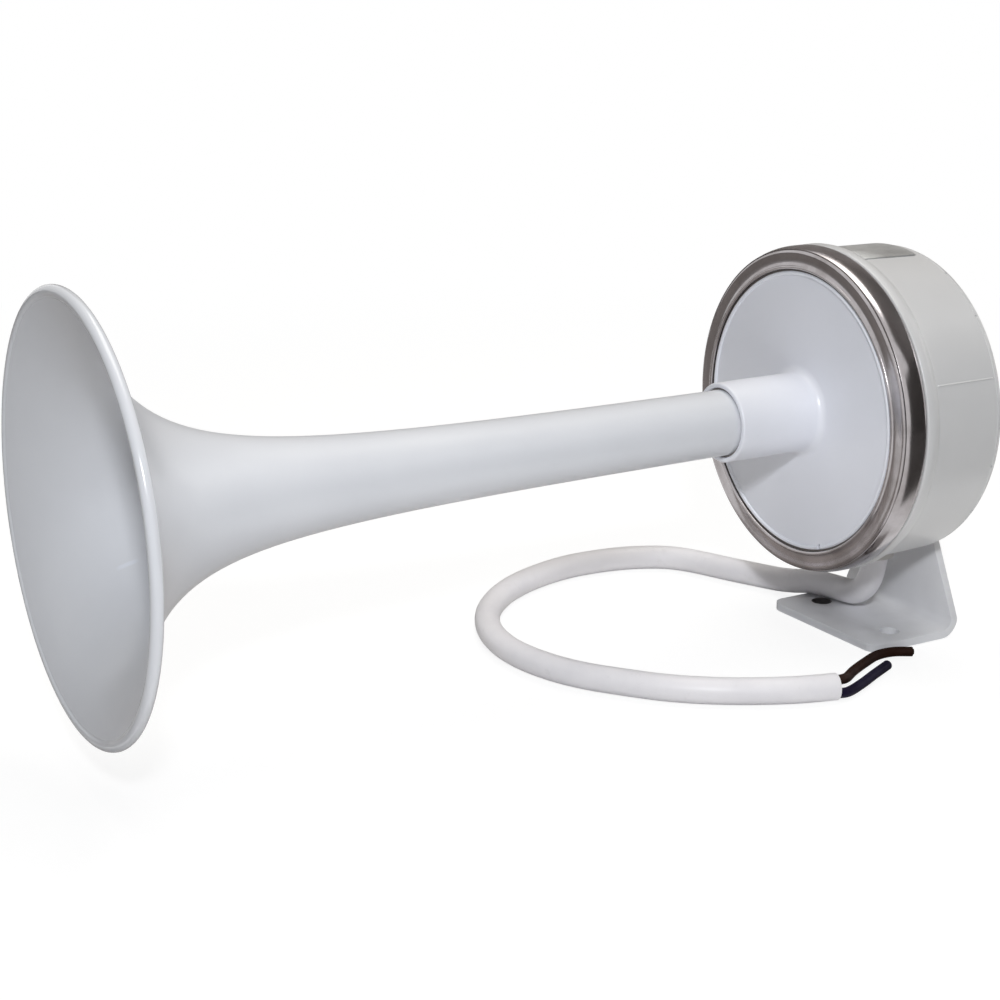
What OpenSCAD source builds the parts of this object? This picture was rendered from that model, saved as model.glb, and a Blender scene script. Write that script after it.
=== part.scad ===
// Electric trumpet horn: a flared horn on a round drum, standing on a bent foot bracket.
// The horn axis runs along Y and the bell mouth faces -Y. The origin is midway between the
// two foot holes, on the underside of the foot.

/* [Foot bracket] */
// Height of the horn axis above the deck
axis_h = 87.5; // [80:0.5:110]
// Thickness of the bracket sheet
sheet_t = 3; // [2:0.5:4]
// Width of the foot at its front edge
foot_w = 52; // [48:1:60]
// Width of the foot at the bend
bend_w = 61; // [56:1:72]
// Distance from the foot holes to the front edge
foot_front = 16.5; // [12:0.5:24]
// Inside radius of the bend
bend_r = 4; // [2:0.5:6]
// Radius of the foot's front corners
foot_corner_r = 9; // [5:0.5:11]
// Distance between the two foot holes
hole_pitch = 40; // [36:1:42]
// Diameter of the foot holes
hole_d = 7.5; // [5:0.5:8]
// Width of the upright strap behind the drum
strap_w = 28; // [22:1:34]
// Height at which the wide skirt of the leg would meet the strap
skirt_top = 43; // [36:1:50]
// Radius of the sweep from skirt to strap
skirt_sweep_r = 45; // [25:1:60]

/* [Drum] */
// Diameter of the drum behind its front flange
drum_d = 116; // [112:1:118]
// Depth of the drum from the clamping ring's front to its rear face
drum_depth = 47.5; // [46:0.5:56]
// Wall of the drum
drum_wall = 3; // [2.5:0.25:3.5]
// Radius of the drum's rear edge
drum_edge_r = 4; // [3:0.5:6]
// Draft of the drum's side, as a loss of radius from front to back
drum_draft = 1; // [0.5:0.1:1.5]
// Turn of the drum about the horn axis, away from upright
drum_turn = 18.5; // [0:0.5:20]
// Height of the drum's front flange over its side
flange_step = 2.3; // [2.2:0.1:3]
// Depth of the front flange that shows behind the clamping ring
flange_depth = 3.1; // [2.5:0.1:4]

/* [Clamping ring] */
// Height of the ring's side over the drum's side
ring_step = 2; // [1.5:0.25:2]
// Width of the ring's front lip
ring_lip_w = 8.6; // [8:0.2:10]
// Depth of the ring behind the drum's front face
ring_depth = 8.2; // [8:0.1:9]
// Thickness of the ring's sheet
ring_t = 1; // [0.8:0.1:1]

/* [Front cover] */
// Thickness of the cover's rim
cover_t = 2.4; // [2.2:0.1:3]
// Outside diameter of the hub that holds the horn
hub_d = 28.8; // [28.4:0.2:32]
// Distance from the cover's face to the hub's front edge
hub_len = 35; // [28:1:40]
// Radius of the fillet between hub and cover
hub_fillet = 3; // [2:0.5:5]
// Diameter of the drain hole
drain_d = 2; // [1:0.2:2.2]

/* [Horn] */
// Distance from the clamping ring's front to the bell's rim
horn_len = 276; // [250:1:300]
// Diameter over the bell's rolled rim
bell_d = 141.8; // [136:0.2:150]
// Diameter of the rolled rim's bead
bead_d = 4; // [3.6:0.2:5]
// Outside diameter of the tube where it leaves the hub
tube_d = 23.6; // [23:0.1:24]
// Gain of the tube's radius for each millimetre of length
tube_taper = 0.002; // [0:0.001:0.006]
// Length over which the horn's slow swelling grows by a factor of e
swell_len = 44; // [40:1:48]
// Length over which the bell's steep flare grows by a factor of e
flare_len = 15.5; // [14:0.5:17]
// Share of the steep flare in the rim's rise over the tube
flare_share = 0.65; // [0.6:0.01:0.7]
// Wall of the horn
horn_wall = 1.8; // [1.4:0.1:2.2]
// Length of the horn's thick rear collar
collar_len = 9; // [6:1:14]

/* [Sound unit] */
// Thickness of the diaphragm
diaphragm_t = 0.5; // [0.3:0.1:0.6]
// Thickness of each clamping gasket
gasket_t = 0.8; // [0.6:0.1:1]
// Diameter of the armature
armature_d = 32; // [28:1:34]
// Thickness of the armature's disc
armature_t = 5; // [4:0.5:6]
// Gap between the armature and the pole
air_gap = 2.5; // [2:0.1:3]
// Diameter of the pole core
core_d = 18; // [14:1:20]
// Outside diameter of the magnet cup
cup_d = 56; // [54:1:58]
// Wall of the magnet cup
cup_wall = 2.5; // [2:0.25:3]
// Gap between the drum's wall and the plate that carries the sound unit
plate_margin = 4; // [3:0.5:5]
// Thickness of that plate
plate_t = 2; // [1.5:0.5:2]
// Space between the plate and the drum's rear wall
rear_space = 8.5; // [8:0.5:9]

/* [Breaker] */
// Distance of the breaker's hinge pin from the horn axis
pin_x = 46; // [45:0.5:47]
// Diameter of the hinge pin
pin_d = 2.4; // [2:0.2:2.6]
// Width of the breaker arm
arm_w = 8; // [6:0.5:9]
// Diameter of the contact faces
contact_d = 4; // [3:0.5:5]
// Diameter of the adjusting screw
adjust_d = 4; // [3:0.5:4]

/* [Stud] */
// Diameter of the stud that the drum turns on
stud_d = 8; // [6:1:10]
// Thickness of the spacer between drum and bracket
spacer_t = 5.5; // [4:0.5:7]
// Diameter of the spacer
spacer_d = 24; // [22:1:28]

/* [Cable] */
// Diameter of the cable's sheath
cable_d = 9.6; // [9:0.1:9.8]
// Diameter of each bare core
core_wire_d = 3.6; // [3:0.1:3.6]

/* [Hidden] */
$fn = 96;

// Clearance of a running fit, of a slip fit and of a loose one
run_gap = 0.05;
slip_gap = 0.2;
loose_gap = 0.5;
// A cut runs this far past the face that it opens
past = 1;

// Places along the horn axis are called s: 0 is the drum's front face and the bell is at +s
// The drum's rear face stands off the leg by the spacer
leg_front_y = 21;
front_y = leg_front_y - spacer_t - drum_depth;

drum_r = drum_d / 2;
flange_r = drum_r + flange_step;
ring_r = drum_r + ring_step;
ring_lip_r = ring_r - ring_lip_w;
seat_r = ring_r - ring_t - slip_gap;

// The stack that the clamping ring holds, from front to back
gasket_s = -cover_t;
diaphragm_s = gasket_s - gasket_t;
rear_gasket_s = diaphragm_s - diaphragm_t;
rim_s = rear_gasket_s - gasket_t;
ring_back_s = -ring_depth;
flange_s = ring_back_s - 0.1;
flange_back_s = flange_s - flange_depth;
groove_r = seat_r - 2.2;
ring_front_lip_s = ring_back_s + ring_t + run_gap;
inner_r = drum_r - drum_draft - drum_wall;
inner_edge_r = 1;
flange_edge = 0.6;
shadow_depth = 0.7;
shadow_w = 1;
back_s = -drum_depth;
wall_back_s = back_s + drum_wall;

// Front cover
recess_r = ring_lip_r + 0.6;
recess_s = -1.6;
hub_r = hub_d / 2;
throat_r = 8;
shoulder_s = 4;
tube_r = tube_d / 2;
hub_bore_r = tube_r + 0.8;
face_bead_r = 0.8;
hub_edge = 0.8;
seal_depth = 3;
seal_w = 4;
lip_bead_r = 0.9;
lip_bead_s = 0.4;
ring_edge_r = 1.3;

// Horn
bell_r = bell_d / 2;
bead_r = bead_d / 2;
rim_centre_s = horn_len - bead_r;
rim_centre_r = bell_r - bead_r;
flare_reach = rim_centre_s - hub_len;
rim_rise = rim_centre_r - tube_r - tube_taper * flare_reach;
flare_gain = rim_rise * flare_share;
swell_gain = rim_rise - flare_gain;
flare_steps = 30;

// Sound unit
arm_t = 0.8;
boss_h = 2.8;
armature_front_s = rear_gasket_s - boss_h;
armature_back_s = armature_front_s - armature_t;
pole_s = armature_back_s - air_gap;
plate_back_s = wall_back_s + rear_space;
plate_s = plate_back_s + plate_t;
plate_r = inner_r - plate_margin;
cup_r = cup_d / 2;
cup_s = pole_s - 2;
core_r = core_d / 2;
flange_t = 1.2;
bobbin_r = cup_r - cup_wall - 0.5;
bobbin_top_s = pole_s - 1.5;
bobbin_base_s = plate_s + cup_wall + run_gap;
armature_r = armature_d / 2;
armature_stud_r = 2.5;
boss_r = 6;
small_nut_t = 3;
small_nut_flats = 8;
spigot_r = 6;
wave_r0 = 28;
wave_r1 = 46;
wave_h = 0.6;

// Breaker, on the plate at the drum's own right-hand side
arm_s = armature_back_s - 1.3;
pin_r = pin_d / 2;
pin_s = arm_s - arm_t / 2;
eye_r = pin_r + 1;
striker_x = armature_r - 1.6;
striker_r = 1.1;
arm_tip_x = striker_x - 1.9;
contact_r = contact_d / 2;
contact_reach = 15;
contact_x = pin_x - contact_reach;
contact_t = 1.2;
strip_t = 1;
strip_s = arm_s + 2 * contact_t + run_gap;
block_half = 4;
block_x0 = pin_x - block_half;
block_x1 = pin_x + block_half;
cheek_w = 3;
block_w = arm_w + 2 * cheek_w;
adjust_r = adjust_d / 2;
adjust_tail = 6;
boss_wall = 2.6;
adjust_reach = 10;
adjust_x = pin_x - adjust_reach;
adjust_side = 6;
adjust_y = -arm_w / 2 - adjust_side;
lug_w = adjust_d * 1.75;

// Screws that hold the plate to the drum's pillars
pillar_r = 4.5;
pillar_pcr = plate_r - 6;
pillar_angles = [60, 180, 300];
plate_screw_r = 1.75;
plate_screw_len = 7;

// Stud through the drum's rear wall and the bracket's leg
stud_r = stud_d / 2;
stud_head_r = stud_r * 2.25;
stud_head_t = 4;
spacer_r = spacer_d / 2;
washer_t = 1.6;
washer_r = stud_r * 2.1;
nut_t = stud_d * 0.8;
nut_flats = stud_d * 1.625;
stud_tail = 2;
strap_r = strap_w / 2;
leg_front_s = front_y - leg_front_y;
leg_back_s = leg_front_s - sheet_t;
nut_back_s = leg_back_s - run_gap - washer_t - nut_t;

// Cable inlet: an upright hole through the drum's underside
cable_r = cable_d / 2;
inlet_x = 4;
inlet_y = 5;
inlet_rise = 3.5;
inlet_end_z = axis_h - inner_r + inlet_rise;
neck_r = cable_r + 0.9;
grommet_lip_r = cable_r + 2.3;
grommet_lip_t = 2;
grommet_z = axis_h - drum_r - grommet_lip_t;

// Route of the cable: down out of the drum, across the foot and round a loop on the deck
cable_route = [[4, 5, inlet_end_z], [4, 5, inlet_end_z - 9], [4, 5, inlet_end_z - 11.5],
    [2, 5, inlet_end_z / 2], [-2, 5.5, 13], [-8, 6, 9.5], [-15, 6.5, 8.2], [-22, 5, 8.1],
    [-29, 3, 8], [-36, 0.5, 6.6], [-45, -1.5, 5.1], [-57, -6.5, 4.9],
    [-66, -10.5, 4.9], [-75, -14, 4.9], [-84, -18, 4.9], [-91, -23, 4.9], [-96, -30, 4.9],
    [-100, -40, 4.9], [-102, -52, 4.9], [-102, -65, 4.9], [-99, -79, 4.9], [-93, -94, 4.9],
    [-84, -108, 4.9], [-71, -121, 4.9], [-56, -130, 4.9], [-40, -135, 4.9], [-24, -136, 4.9],
    [-8, -133, 4.9], [6, -127, 4.9], [19, -118, 4.9], [31, -108, 4.9], [41, -96, 4.9],
    [49, -83, 4.9], [55, -70, 4.9], [59, -57, 4.9]];
// Routes of the two bare cores past the end of the sheath
brown_route = [[57.5, -58.5, 6.7], [55.5, -52, 5.4], [50, -45, 3], [44, -37, 1.9], [39.5, -28, 1.9],
    [36, -19.5, 1.9], [36, -12, 1.9], [39.5, -5.5, 1.9]];
blue_route = [[59.5, -58.5, 2.8], [59.5, -52.5, 2.1], [55.5, -43, 1.9], [50.5, -33, 1.9],
    [45.5, -22.5, 1.9]];
// Route of a lead from the cable's inner end to its terminal, from that end's height
lead_r = 1.5;
lead_x = 4.5;
terminal_y = -40;
terminal_h = 11;
terminal_t = 9;
terminal_screw_r = 1.2;
capacitor_r = 5.5;
capacitor_len = 17;
lead_rise = axis_h + terminal_y - inlet_end_z;
lead_end_y = front_y - plate_s + 2 * run_gap;
lead_route = [[2.2, 6.2, 2 * run_gap], [2.2, 6.2, 2.5], [2.5, 6.8, 5], [3.8, 7.3, 8],
    [lead_x, 5.5, lead_rise], [lead_x, lead_end_y + 1.5, lead_rise], [lead_x, lead_end_y, lead_rise]];

// Points on an arc, for outlines
function arc(cx, cy, r, a0, a1, n = 10) =
    [for (i = [0:n]) let (a = a0 + (a1 - a0) * i / n) [cx + r * cos(a), cy + r * sin(a)]];

// Part of its rise at the rim that a growth of length l reaches at s, and its slope there
function grown(s, l) = (exp(max(0, s - hub_len) / l) - 1) / (exp(flare_reach / l) - 1);
function growing(s, l) = exp(max(0, s - hub_len) / l) / l / (exp(flare_reach / l) - 1);

// Outside radius of the horn at s, and its slope there
function horn_r(s) = tube_r + tube_taper * max(0, s - hub_len)
    + flare_gain * grown(s, flare_len) + swell_gain * grown(s, swell_len);
function horn_slope(s) = tube_taper
    + flare_gain * growing(s, flare_len) + swell_gain * growing(s, swell_len);

// Points between p1 and p2 of a smooth curve through a route's points
function between(p0, p1, p2, p3, t) = 0.5 * (2 * p1 + (p2 - p0) * t
    + (2 * p0 - 5 * p1 + 4 * p2 - p3) * t * t + (3 * p1 - p0 - 3 * p2 + p3) * t * t * t);
function smooth(route, n) = let (last = len(route) - 1) concat(
    [for (i = [0:last - 1], j = [0:n - 1])
        between(route[max(i - 1, 0)], route[i], route[i + 1], route[min(i + 2, last)], j / n)],
    [route[last]]);
function unit(v) = v / norm(v);
// Sideways directions that turn with a path and don't twist about it
function sideways(along, first, i = 0) = i == len(along) ? [] :
    let (side = unit(first - (first * along[i]) * along[i]))
        concat([side], sideways(along, side, i + 1));

// A round tube of radius r swept along a route's points
module swept(route, r, n, sides, first) {
    path = smooth(route, n);
    last = len(path) - 1;
    along = [for (i = [0:last]) unit(path[min(i + 1, last)] - path[max(i - 1, 0)])];
    side = sideways(along, first);
    points = [for (i = [0:last], k = [0:sides - 1]) let (a = 360 * k / sides)
        path[i] + r * (cos(a) * side[i] + sin(a) * cross(along[i], side[i]))];
    walls = [for (i = [0:last - 1], k = [0:sides - 1]) let (a = i * sides + k,
        b = i * sides + (k + 1) % sides, c = a + sides, d = b + sides) each [[a, c, b], [b, c, d]]];
    caps = [for (k = [1:sides - 2]) each [[0, k, k + 1],
        [last * sides, last * sides + k + 1, last * sides + k]]];
    polyhedron(points, concat(walls, caps));
}

// Places its children on the horn axis, with z forward and y up
module on_axis() translate([0, front_y, axis_h]) rotate([90, 0, 0]) children();

// The same, in the frame of the turned drum
module in_drum() on_axis() rotate([0, 0, drum_turn]) children();

// Revolves an outline of radius against s
module revolved(outline) rotate_extrude() polygon(outline);

// A ring or disc from s0 to s1
module band(r_out, r_in, s0, s1) translate([0, 0, s0]) difference() {
    cylinder(r = r_out, h = s1 - s0);
    if (r_in > 0) translate([0, 0, -past]) cylinder(r = r_in, h = s1 - s0 + 2 * past);
}

// A hexagonal nut from s0 to s1, with its corners chamfered at s0
module nut(flats, bore_r, s0, s1) translate([0, 0, s0]) difference() {
    intersection() {
        cylinder(d = flats / cos(30), h = s1 - s0, $fn = 6);
        cylinder(r1 = flats / 2, r2 = flats / 2 + (s1 - s0) * 1.7, h = s1 - s0);
    }
    translate([0, 0, -past]) cylinder(r = bore_r, h = s1 - s0 + 2 * past);
}

// A block from s0 to s1, from x0 to x1 and w wide about y
module block(x0, x1, y, w, s0, s1) translate([x0, y - w / 2, s0]) cube([x1 - x0, w, s1 - s0]);

// Closes the right half of an outline with its mirror image
function both_sides(half) = concat(half, [for (i = [len(half) - 1:-1:0]) [-half[i][0], half[i][1]]]);

// Foot seen from above: tapered, with two round front corners
module foot_outline() {
    lean = atan((bend_w - foot_w) / 2 / (foot_front + leg_front_y - bend_r));
    corner_x = foot_w / 2 - foot_corner_r * (1 - sin(lean)) / cos(lean);
    polygon(both_sides(concat(
        arc(corner_x, foot_corner_r - foot_front, foot_corner_r, -90, -lean),
        [[bend_w / 2, leg_front_y - bend_r]])));
}

// Leg seen from the front: a skirt that sweeps into an upright strap with a round top
module leg_outline() {
    foot_z = sheet_t + bend_r;
    lean = atan((bend_w / 2 - strap_r) / (skirt_top - foot_z));
    polygon(both_sides(concat([[bend_w / 2, foot_z]],
        arc(strap_r + skirt_sweep_r, skirt_top + skirt_sweep_r * tan(lean / 2), skirt_sweep_r,
            180 + lean, 180),
        arc(0, axis_h, strap_r, 0, 90))));
}

module bracket() color("whitesmoke") difference() {
    union() {
        linear_extrude(sheet_t) foot_outline();
        translate([0, leg_front_y + sheet_t, 0]) rotate([90, 0, 0])
            linear_extrude(sheet_t) leg_outline();
        intersection() {
            translate([-bend_w / 2, leg_front_y - bend_r, sheet_t + bend_r]) rotate([0, 90, 0])
                difference() {
                    cylinder(r = bend_r + sheet_t, h = bend_w);
                    translate([0, 0, -past]) cylinder(r = bend_r, h = bend_w + 2 * past);
                }
            translate([-bend_w, leg_front_y - bend_r, 0])
                cube([2 * bend_w, bend_r + sheet_t, bend_r + sheet_t]);
        }
    }
    for (side = [-1, 1])
        translate([side * hole_pitch / 2, 0, -past]) cylinder(d = hole_d, h = sheet_t + 2 * past);
    on_axis() translate([0, 0, leg_back_s - past])
        cylinder(r = stud_r + run_gap, h = sheet_t + 2 * past);
}

// Drum with its front flange, pillars for the inner plate and a boss for the adjusting screw
module housing() color("whitesmoke") difference() {
    in_drum() {
        difference() {
            union() {
                revolved(concat([[inner_r, rim_s], [seat_r, rim_s], [seat_r, ring_front_lip_s],
                    [groove_r, ring_front_lip_s], [groove_r, flange_s],
                    [flange_r - flange_edge, flange_s], [flange_r, flange_s - flange_edge],
                    [flange_r, flange_back_s + flange_edge], [flange_r - flange_edge, flange_back_s],
                    [drum_r - shadow_depth, flange_back_s],
                    [drum_r - shadow_depth, flange_back_s - shadow_w],
                    [drum_r, flange_back_s - shadow_w - shadow_depth]],
                    arc(drum_r - drum_draft - drum_edge_r, back_s + drum_edge_r, drum_edge_r, 0, -90),
                    [[stud_r + run_gap, back_s], [stud_r + run_gap, wall_back_s]],
                    arc(inner_r - inner_edge_r, wall_back_s + inner_edge_r, inner_edge_r, -90, 0, 4)));
                for (a = pillar_angles) rotate([0, 0, a]) translate([pillar_pcr, 0, 0])
                    band(pillar_r, 0, wall_back_s - run_gap, plate_back_s);
                translate([adjust_x, adjust_y, 0])
                    band(adjust_r + boss_wall, 0, wall_back_s - run_gap, plate_back_s);
            }
            for (a = pillar_angles) rotate([0, 0, a]) translate([pillar_pcr, 0, plate_s - plate_screw_len])
                cylinder(r = plate_screw_r + run_gap, h = plate_screw_len);
            translate([adjust_x, adjust_y, back_s - past])
                cylinder(r = adjust_r + run_gap, h = plate_back_s - back_s + 2 * past);
        }
    }
    translate([inlet_x, inlet_y, axis_h - drum_r - past])
        cylinder(r = neck_r + run_gap, h = drum_r - inner_r + 3 * past);
}

// Rolled channel that clamps the cover, gaskets and diaphragm to the drum
module clamp_ring() color("silver") on_axis() revolved(concat(
    [[ring_lip_r, 0]],
    arc(ring_lip_r + lip_bead_r, lip_bead_s, lip_bead_r, 180, 20),
    [[ring_r - 2 * ring_edge_r, ring_t - 0.4]],
    arc(ring_r - ring_edge_r, ring_t - ring_edge_r, ring_edge_r, 90, 0, 6),
    arc(ring_r - flange_edge, ring_back_s + flange_edge, flange_edge, 0, -90, 4),
    [[groove_r + slip_gap, ring_back_s], [groove_r + slip_gap, ring_back_s + ring_t],
        [ring_r - ring_t, ring_back_s + ring_t], [ring_r - ring_t, 0]]));

// White disc with the hub that the horn plugs into
module front_cover() color("whitesmoke") in_drum() difference() {
    revolved(concat(
        [[throat_r, recess_s], [recess_r, recess_s], [recess_r, -cover_t], [seat_r, -cover_t], [seat_r, 0]],
        arc(ring_lip_r - run_gap - face_bead_r, 0, face_bead_r, 0, 180, 6),
        arc(hub_r + hub_fillet, hub_fillet, hub_fillet, -90, -180, 6),
        arc(hub_r - hub_edge, hub_len - hub_edge, hub_edge, 0, 90, 5),
        [[hub_bore_r, hub_len], [hub_bore_r, shoulder_s], [throat_r, shoulder_s]]));
    rotate([0, 0, -90]) translate([ring_lip_r - drain_d / 2 - slip_gap, 0, recess_s - past])
        cylinder(d = drain_d, h = face_bead_r - recess_s + 2 * past);
}

// Flared horn: a thin shell of nearly even wall, with a collar at the back and a rolled rim
module trumpet() color("white") on_axis() {
    start_s = shoulder_s + collar_len;
    steps = [for (i = [0:flare_steps])
        start_s + (rim_centre_s - start_s) * (1 - pow(1 - i / flare_steps, 2))];
    outside = [for (s = steps) [horn_r(s), s]];
    inside = [for (i = [flare_steps:-1:0])
        let (s = steps[i], m = horn_slope(s), k = horn_wall / norm([1, m]))
            [horn_r(s) - k, s + k * m]];
    rotate_extrude() {
        polygon(concat([[hub_bore_r - run_gap, shoulder_s], [hub_bore_r - run_gap, start_s - hub_edge]],
            outside, inside, [[tube_r - horn_wall, shoulder_s]]));
        translate([rim_centre_r, rim_centre_s]) circle(r = bead_r, $fn = 32);
    }
}

module hub_seal() color("dimgray") on_axis()
    band(hub_bore_r, tube_r + run_gap, hub_len - seal_depth - seal_w, hub_len - seal_depth);

module front_gasket() color("black") on_axis() band(seat_r, inner_r, diaphragm_s, gasket_s);

module rear_gasket() color("black") on_axis() band(seat_r, inner_r, rim_s, rear_gasket_s);

// Thin disc with one round corrugation
module diaphragm() color("lightsteelblue") on_axis() {
    radii = concat([armature_stud_r + run_gap], [for (i = [0:16]) wave_r0 + (wave_r1 - wave_r0) * i / 16],
        [seat_r]);
    lift = [for (r = radii) r < wave_r0 || r > wave_r1 ? 0
        : wave_h * pow(sin(180 * (r - wave_r0) / (wave_r1 - wave_r0)), 2)];
    last = len(radii) - 1;
    revolved(concat([for (i = [0:last]) [radii[i], rear_gasket_s + lift[i]]],
        [for (i = [last:-1:0]) [radii[i], diaphragm_s + lift[i]]]));
}

// Steel disc that the magnet pulls, with the stud that carries it on the diaphragm
module armature() color("gray") on_axis() revolved([[0, armature_back_s], [armature_r, armature_back_s],
    [armature_r, armature_front_s], [boss_r, armature_front_s], [boss_r, rear_gasket_s],
    [armature_stud_r, rear_gasket_s], [armature_stud_r, diaphragm_s + small_nut_t + hub_edge],
    [0, diaphragm_s + small_nut_t + hub_edge]]);

module armature_nut() color("goldenrod") on_axis()
    nut(small_nut_flats, armature_stud_r + run_gap, diaphragm_s, diaphragm_s + small_nut_t);

// Insulated pin that pushes the breaker arm
module striker() color("saddlebrown") in_drum() translate([striker_x, 0, 0])
    band(striker_r, 0, arm_s + run_gap, armature_back_s);

module base_plate() color("lightgray") difference() {
    in_drum() difference() {
        band(plate_r, spigot_r + run_gap, plate_back_s, plate_s);
        for (a = pillar_angles) rotate([0, 0, a]) translate([pillar_pcr, 0, plate_back_s - past])
            cylinder(r = plate_screw_r + slip_gap, h = plate_t + 2 * past);
        translate([adjust_x, adjust_y, plate_back_s - past])
            cylinder(r = adjust_r + loose_gap, h = plate_t + 2 * past);
    }
    on_axis() for (side = [-1, 1])
        translate([inlet_x + side * lead_x, terminal_y, plate_back_s - past])
            cylinder(r = lead_r + 2 * loose_gap, h = plate_t + 2 * past);
}

module base_screws() color("silver") in_drum() for (a = pillar_angles) rotate([0, 0, a])
    translate([pillar_pcr, 0, 0]) {
        band(plate_screw_r, 0, plate_s - plate_screw_len + loose_gap, plate_s);
        band(plate_screw_r * 2, 0, plate_s, plate_s + plate_screw_r * 1.4);
    }

module magnet_cup() color("slategray") on_axis() revolved([[core_r + run_gap, plate_s], [cup_r, plate_s],
    [cup_r, cup_s], [cup_r - cup_wall, cup_s], [cup_r - cup_wall, plate_s + cup_wall],
    [core_r + run_gap, plate_s + cup_wall]]);

module pole_core() color("gray") on_axis() revolved([[0, plate_back_s], [spigot_r, plate_back_s],
    [spigot_r, plate_s], [core_r, plate_s], [core_r, pole_s - hub_edge], [core_r - hub_edge, pole_s],
    [0, pole_s]]);

module coil_bobbin() color("ivory") on_axis() revolved([[core_r + run_gap, bobbin_base_s],
    [bobbin_r, bobbin_base_s], [bobbin_r, bobbin_base_s + flange_t],
    [core_r + flange_t, bobbin_base_s + flange_t], [core_r + flange_t, bobbin_top_s - flange_t],
    [bobbin_r, bobbin_top_s - flange_t], [bobbin_r, bobbin_top_s], [core_r + run_gap, bobbin_top_s]]);

module coil_winding() color("peru") on_axis() band(bobbin_r - 1, core_r + flange_t + run_gap,
    bobbin_base_s + flange_t + run_gap, bobbin_top_s - flange_t - run_gap);

// Insulating block whose two cheeks hold the hinge pin and carry the fixed contact
module contact_block() color("saddlebrown") in_drum() difference() {
    block(block_x0, block_x1, 0, block_w, plate_s, strip_s);
    block(block_x0 - past, block_x1 + past, 0, arm_w + 2 * slip_gap, pin_s - eye_r - 1, strip_s + past);
    translate([pin_x, block_w / 2 + past, pin_s]) rotate([90, 0, 0])
        cylinder(r = pin_r + run_gap, h = block_w + 2 * past);
}

module breaker_pin() color("silver") in_drum() translate([pin_x, block_w / 2, pin_s])
    rotate([90, 0, 0]) cylinder(r = pin_r, h = block_w);

// Arm that carries the moving contact and hinges on the pin
module breaker_arm() color("goldenrod") in_drum() difference() {
    union() {
        block(arm_tip_x, pin_x, 0, arm_w, arm_s - arm_t, arm_s);
        translate([pin_x, arm_w / 2, pin_s]) rotate([90, 0, 0]) cylinder(r = eye_r, h = arm_w);
        translate([contact_x, 0, 0]) band(contact_r, 0, arm_s - run_gap, arm_s + contact_t);
    }
    translate([pin_x, arm_w / 2 + past, pin_s]) rotate([90, 0, 0])
        cylinder(r = pin_r + run_gap, h = arm_w + 2 * past);
}

// Strip across the block, with the fixed contact and a lug that the adjusting screw bears on
module fixed_contact() color("gold") in_drum() {
    block(block_x0, block_x1, 0, block_w, strip_s, strip_s + strip_t);
    block(contact_x - contact_r - loose_gap, block_x0 + past, 0, arm_w, strip_s, strip_s + strip_t);
    block(adjust_x - lug_w / 2, adjust_x + lug_w / 2, adjust_y / 2, -adjust_y + lug_w,
        strip_s, strip_s + strip_t);
    translate([contact_x, 0, 0]) band(contact_r, 0, strip_s - contact_t, strip_s + strip_t / 2);
}

module adjusting_screw() color("silver") in_drum() translate([adjust_x, adjust_y, 0]) difference() {
    band(adjust_r, 0, back_s - adjust_tail, strip_s - run_gap);
    translate([0, 0, back_s - adjust_tail]) cube([2 * adjust_d, adjust_d / 4, adjust_d / 2], center = true);
}

module lock_nut() color("silver") in_drum() translate([adjust_x, adjust_y, 0])
    nut(adjust_d * 1.75, adjust_r + run_gap, back_s - adjust_d * 0.8, back_s);

module capacitor() color("royalblue") in_drum() rotate([0, 0, 120])
    translate([(cup_r + plate_r) / 2, capacitor_len / 2, plate_s + capacitor_r]) rotate([90, 0, 0])
        cylinder(r = capacitor_r, h = capacitor_len);

// Block that joins the cable's cores to the coil
module terminal_block() color("dimgray") on_axis() difference() {
    block(inlet_x - 2 * lead_x, inlet_x + 2 * lead_x, terminal_y, terminal_h,
        plate_s, plate_s + terminal_t);
    for (side = [-1, 1]) translate([inlet_x + side * lead_x, terminal_y, plate_s + terminal_t / 2])
        cylinder(r = terminal_screw_r + run_gap, h = terminal_t);
}

module terminal_screws() color("goldenrod") on_axis() for (side = [-1, 1])
    translate([inlet_x + side * lead_x, terminal_y, 0]) {
        band(terminal_screw_r, 0, plate_s + terminal_t / 2 + loose_gap, plate_s + terminal_t);
        band(terminal_screw_r * 1.8, 0, plate_s + terminal_t, plate_s + terminal_t + 1.6);
    }

module inner_leads() color("saddlebrown") for (side = [-1, 1])
    swept([for (p = lead_route) [inlet_x + side * p[0], p[1], inlet_end_z + p[2]]], lead_r, 3, 8, [1, 0, 0]);

module rear_stud() color("silver") on_axis() {
    band(stud_head_r, 0, wall_back_s, wall_back_s + stud_head_t);
    band(stud_r, 0, nut_back_s - stud_tail, wall_back_s + past);
}

module spacer() color("dimgray") on_axis()
    band(spacer_r, stud_r + run_gap, leg_front_s + run_gap, back_s);

module stud_washer() color("silver") on_axis()
    band(washer_r, stud_r + run_gap, leg_back_s - run_gap - washer_t, leg_back_s - run_gap);

module stud_nut() color("silver") on_axis()
    nut(nut_flats, stud_r + run_gap, nut_back_s, leg_back_s - run_gap - washer_t);

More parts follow.
